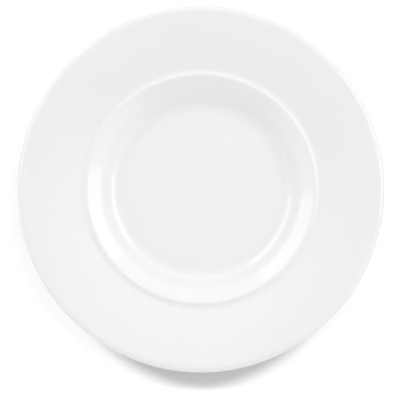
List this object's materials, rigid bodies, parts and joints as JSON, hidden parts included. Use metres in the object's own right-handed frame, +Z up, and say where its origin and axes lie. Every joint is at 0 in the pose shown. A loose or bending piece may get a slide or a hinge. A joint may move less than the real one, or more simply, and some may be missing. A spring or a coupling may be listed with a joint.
{
  "type": "saucer",
  "caption": "Round white glazed porcelain saucer with a broad rim, a raised line round a deep well with a flat floor, and a bare foot ring underneath.",
  "frame": {"origin": "on the turning axis, in the plane that the foot stands on", "axes": "+Z up along the turning axis, +X and +Y across it in any direction, as the shape is round"},
  "size_m": [0.16, 0.16, 0.019],
  "materials": {
    "glaze": "gloss",
    "bare_porcelain": "matt"
  },
  "bodies": {
    "root": {"porcelain_body": "bare_porcelain", "face_glaze": "glaze", "base_glaze": "glaze"}
  },
  "joints": []
}
